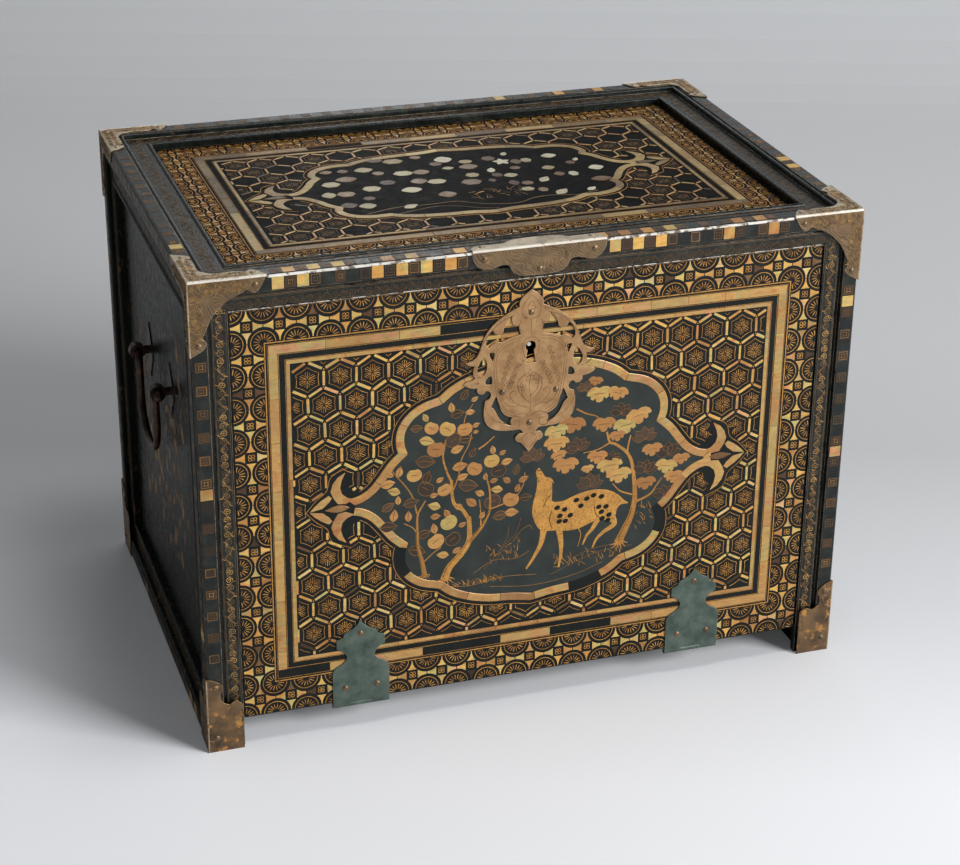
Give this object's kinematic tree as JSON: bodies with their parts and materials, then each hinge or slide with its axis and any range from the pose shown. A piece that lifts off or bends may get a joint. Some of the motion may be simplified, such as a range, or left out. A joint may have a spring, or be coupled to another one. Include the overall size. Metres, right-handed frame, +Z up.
{
  "type": "lacquer fall-front cabinet",
  "caption": "Small black lacquer cabinet with a fall-front door over a nest of drawers, framed faces, gilt corner mounts, a pierced lock plate and side bail handles.",
  "frame": {"origin": "on the floor, under the middle of the cabinet", "axes": "+X to the cabinet's right as seen from the front, +Y to its back, +Z up; the door faces -Y"},
  "size_m": [0.4748, 0.3186, 0.3428],
  "materials": {
    "lacquer": "black lacquer with mother-of-pearl and gold",
    "side_lacquer": "worn dark lacquer",
    "inner_lacquer": "plain dark lacquer",
    "gilt_copper": "worn gilding over engraved copper",
    "mount_copper": "engraved copper, darkened",
    "patina_copper": "grey-green patina",
    "iron": "dark, rubbed bright on edges"
  },
  "bodies": {
    "carcass": {"left_side_board": "side_lacquer", "right_side_board": "side_lacquer", "top_board": "lacquer", "back_board": "side_lacquer", "bottom_board": "inner_lacquer", "left_frame": "side_lacquer", "right_frame": "side_lacquer", "back_frame": "side_lacquer", "top_frame": "lacquer", "front_frame": "lacquer", "left_liner": "inner_lacquer", "right_liner": "inner_lacquer", "nest_floor": "inner_lacquer", "lower_shelf": "inner_lacquer", "upper_shelf": "inner_lacquer", "middle_shelves": "inner_lacquer", "column_dividers": "inner_lacquer", "top_dividers": "inner_lacquer", "corner_mounts_top_front": "mount_copper", "corner_mounts_top_back": "mount_copper", "corner_mounts_foot_front": "mount_copper", "corner_mounts_foot_back": "mount_copper", "strike_plate": "mount_copper", "mount_nails": "mount_copper", "left_carcass_leaf": "patina_copper", "right_carcass_leaf": "patina_copper", "left_hinge_pin": "iron", "right_hinge_pin": "iron", "left_handle_posts": "iron", "right_handle_posts": "iron", "left_backplates": "iron", "right_backplates": "iron"},
    "door": {"door_panel": "lacquer", "lock_plate": "gilt_copper", "lock_case": "iron", "drill_pin": "iron", "door_nails": "mount_copper", "left_door_leaf": "patina_copper", "right_door_leaf": "patina_copper"},
    "bolt": {"lock_bolt": "iron"},
    "left_handle": {"left_bail": "iron"},
    "right_handle": {"right_bail": "iron"},
    "bottom_drawer": {"drawer_bottom": "inner_lacquer", "knob_bottom": "gilt_copper"},
    "low_left_drawer": {"drawer_low_left": "inner_lacquer", "knob_low_left": "gilt_copper"},
    "low_right_drawer": {"drawer_low_right": "inner_lacquer", "knob_low_right": "gilt_copper"},
    "centre_drawer": {"drawer_centre": "inner_lacquer", "knob_centre": "gilt_copper"},
    "high_left_drawer": {"drawer_high_left": "inner_lacquer", "knob_high_left": "gilt_copper"},
    "high_right_drawer": {"drawer_high_right": "inner_lacquer", "knob_high_right": "gilt_copper"},
    "top_left_drawer": {"drawer_top_left": "inner_lacquer", "knob_top_left": "gilt_copper"},
    "top_middle_drawer": {"drawer_top_middle": "inner_lacquer", "knob_top_middle": "gilt_copper"},
    "top_right_drawer": {"drawer_top_right": "inner_lacquer", "knob_top_right": "gilt_copper"}
  },
  "joints": [
    {"name": "door_fall", "type": "hinge", "parent": "carcass", "child": "door", "pos_m": [0, -0.1525, 0.0178], "axis": [1, 0, 0], "range_deg": [0, 92]},
    {"name": "bolt_slide", "type": "slide", "parent": "door", "child": "bolt", "axis": [0, 0, 1], "range_m": [0, 0.009]},
    {"name": "left_bail_swing", "type": "hinge", "parent": "carcass", "child": "left_handle", "pos_m": [-0.2318, 0, 0.216], "axis": [0, 1, 0], "range_deg": [0, 165]},
    {"name": "right_bail_swing", "type": "hinge", "parent": "carcass", "child": "right_handle", "pos_m": [0.2318, 0, 0.216], "axis": [0, -1, 0], "range_deg": [0, 165]},
    {"name": "bottom_drawer_slide", "type": "slide", "parent": "carcass", "child": "bottom_drawer", "axis": [0, -1, 0], "range_m": [0, 0.19]},
    {"name": "low_left_drawer_slide", "type": "slide", "parent": "carcass", "child": "low_left_drawer", "axis": [0, -1, 0], "range_m": [0, 0.19]},
    {"name": "low_right_drawer_slide", "type": "slide", "parent": "carcass", "child": "low_right_drawer", "axis": [0, -1, 0], "range_m": [0, 0.19]},
    {"name": "centre_drawer_slide", "type": "slide", "parent": "carcass", "child": "centre_drawer", "axis": [0, -1, 0], "range_m": [0, 0.19]},
    {"name": "high_left_drawer_slide", "type": "slide", "parent": "carcass", "child": "high_left_drawer", "axis": [0, -1, 0], "range_m": [0, 0.19]},
    {"name": "high_right_drawer_slide", "type": "slide", "parent": "carcass", "child": "high_right_drawer", "axis": [0, -1, 0], "range_m": [0, 0.19]},
    {"name": "top_left_drawer_slide", "type": "slide", "parent": "carcass", "child": "top_left_drawer", "axis": [0, -1, 0], "range_m": [0, 0.19]},
    {"name": "top_middle_drawer_slide", "type": "slide", "parent": "carcass", "child": "top_middle_drawer", "axis": [0, -1, 0], "range_m": [0, 0.19]},
    {"name": "top_right_drawer_slide", "type": "slide", "parent": "carcass", "child": "top_right_drawer", "axis": [0, -1, 0], "range_m": [0, 0.19]}
  ],
  "couplings": [
    {"joint": "bottom_drawer_slide", "follows": "door_fall", "m_per_rad": 0.047},
    {"joint": "low_left_drawer_slide", "follows": "door_fall", "m_per_rad": 0.118},
    {"joint": "low_right_drawer_slide", "follows": "door_fall", "m_per_rad": 0.118},
    {"joint": "centre_drawer_slide", "follows": "door_fall", "m_per_rad": 0.118},
    {"joint": "high_left_drawer_slide", "follows": "door_fall", "m_per_rad": 0.118},
    {"joint": "high_right_drawer_slide", "follows": "door_fall", "m_per_rad": 0.118},
    {"joint": "top_left_drawer_slide", "follows": "door_fall", "m_per_rad": 0.118},
    {"joint": "top_middle_drawer_slide", "follows": "door_fall", "m_per_rad": 0.118},
    {"joint": "top_right_drawer_slide", "follows": "door_fall", "m_per_rad": 0.118}
  ]
}
